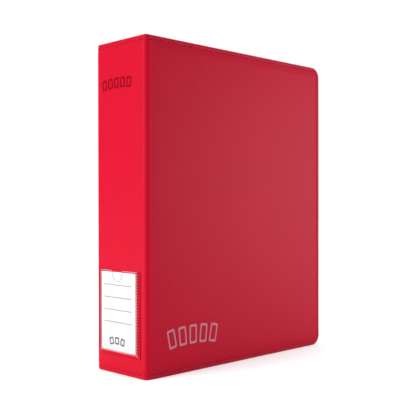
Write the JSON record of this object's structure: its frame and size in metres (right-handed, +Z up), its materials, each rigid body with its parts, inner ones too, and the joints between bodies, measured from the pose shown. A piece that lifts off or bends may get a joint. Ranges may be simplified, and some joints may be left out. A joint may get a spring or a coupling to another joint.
{
  "type": "trading card binder",
  "caption": "Upright padded ring binder for card pages, with hinged covers, a D-ring mechanism with levers, clear nine-pocket pages and a title pocket on its spine.",
  "frame": {"origin": "middle of the bounding box, at the base that the closed binder stands on", "axes": "+X from the spine to the fore edge, +Y from the front cover to the back cover, +Z up along the spine"},
  "size_m": [0.2732, 0.078, 0.33],
  "materials": {
    "leatherette": "satin, embossed",
    "padding": "matte foam",
    "board": "matte",
    "lining": "matte",
    "plated_steel": "polished",
    "dark_steel": "satin",
    "clear_film": "clear, glossy",
    "seam": "satin, sewn",
    "label_card": "matte",
    "page_film": "clear, glossy"
  },
  "bodies": {
    "back_cover": {"back_cover_skin": "leatherette", "back_cover_padding": "padding", "back_cover_board": "board", "back_cover_lining": "lining", "back_hinge_skin": "leatherette", "back_hinge_lining": "lining", "ring_cover_plate": "plated_steel", "rivet_upper": "plated_steel", "rivet_lower": "plated_steel", "lever_pin_upper": "dark_steel", "lever_pin_lower": "dark_steel", "page_1_strip": "page_film", "page_2_strip": "page_film", "page_3_strip": "page_film"},
    "spine": {"spine_skin": "leatherette", "spine_padding": "padding", "spine_board": "board", "spine_lining": "lining", "front_hinge_skin": "leatherette", "front_hinge_lining": "lining", "title_window": "clear_film", "title_seam_front": "seam", "title_seam_back": "seam", "title_seam_lower": "seam"},
    "front_cover": {"front_cover_skin": "leatherette", "front_cover_padding": "padding", "front_cover_board": "board", "front_cover_lining": "lining"},
    "title_card": {"title_card": "label_card"},
    "page_side_rings": {"rail_page_side": "dark_steel", "ring_post_1": "plated_steel", "ring_post_2": "plated_steel", "ring_post_3": "plated_steel"},
    "spine_side_rings": {"rail_spine_side": "dark_steel", "ring_bow_1": "plated_steel", "ring_bow_2": "plated_steel", "ring_bow_3": "plated_steel"},
    "upper_lever": {"lever_upper": "plated_steel"},
    "lower_lever": {"lever_lower": "plated_steel"},
    "page_1": {"page_1_pockets": "page_film"},
    "page_2": {"page_2_pockets": "page_film"},
    "page_3": {"page_3_pockets": "page_film"}
  },
  "joints": [
    {"name": "back_hinge", "type": "hinge", "parent": "back_cover", "child": "spine", "pos_m": [-0.13335, 0.037, 0.165], "axis": [0, 0, -1], "range_deg": [0, 180], "deforming": ["back_hinge_skin", "back_hinge_lining"]},
    {"name": "front_hinge", "type": "hinge", "parent": "spine", "child": "front_cover", "pos_m": [-0.13335, -0.037, 0.165], "axis": [0, 0, -1], "range_deg": [0, 180], "deforming": ["front_hinge_skin", "front_hinge_lining"]},
    {"name": "title_card_slide", "type": "slide", "parent": "spine", "child": "title_card", "axis": [0, 0, 1], "range_m": [0, 0.082]},
    {"name": "ring_opening", "type": "hinge", "parent": "back_cover", "child": "page_side_rings", "pos_m": [-0.084, 0.0308, 0.165], "axis": [0, 0, 1], "range_deg": [0, 12]},
    {"name": "spine_side_opening", "type": "hinge", "parent": "back_cover", "child": "spine_side_rings", "pos_m": [-0.118, 0.0308, 0.165], "axis": [0, 0, -1], "range_deg": [0, 12]},
    {"name": "upper_lever_press", "type": "hinge", "parent": "back_cover", "child": "upper_lever", "pos_m": [-0.101, 0.0292, 0.299], "axis": [-1, 0, 0], "range_deg": [0, 27]},
    {"name": "lower_lever_press", "type": "hinge", "parent": "back_cover", "child": "lower_lever", "pos_m": [-0.101, 0.0292, 0.031], "axis": [1, 0, 0], "range_deg": [0, 27]},
    {"name": "page_1_turn", "type": "hinge", "parent": "back_cover", "child": "page_1", "pos_m": [-0.074, 0.0197, 0.165], "axis": [0, 0, -1], "range_deg": [0, 80]},
    {"name": "page_2_turn", "type": "hinge", "parent": "back_cover", "child": "page_2", "pos_m": [-0.074, 0.0209, 0.165], "axis": [0, 0, -1], "range_deg": [0, 50]},
    {"name": "page_3_turn", "type": "hinge", "parent": "back_cover", "child": "page_3", "pos_m": [-0.074, 0.0221, 0.165], "axis": [0, 0, -1], "range_deg": [0, 25]}
  ],
  "couplings": [
    {"joint": "spine_side_opening", "follows": "ring_opening", "ratio": 1},
    {"joint": "upper_lever_press", "follows": "ring_opening", "ratio": 2.25},
    {"joint": "lower_lever_press", "follows": "ring_opening", "ratio": 2.25},
    {"joint": "page_1_turn", "follows": "front_hinge", "ratio": 0.444},
    {"joint": "page_2_turn", "follows": "front_hinge", "ratio": 0.277},
    {"joint": "page_3_turn", "follows": "front_hinge", "ratio": 0.138}
  ]
}
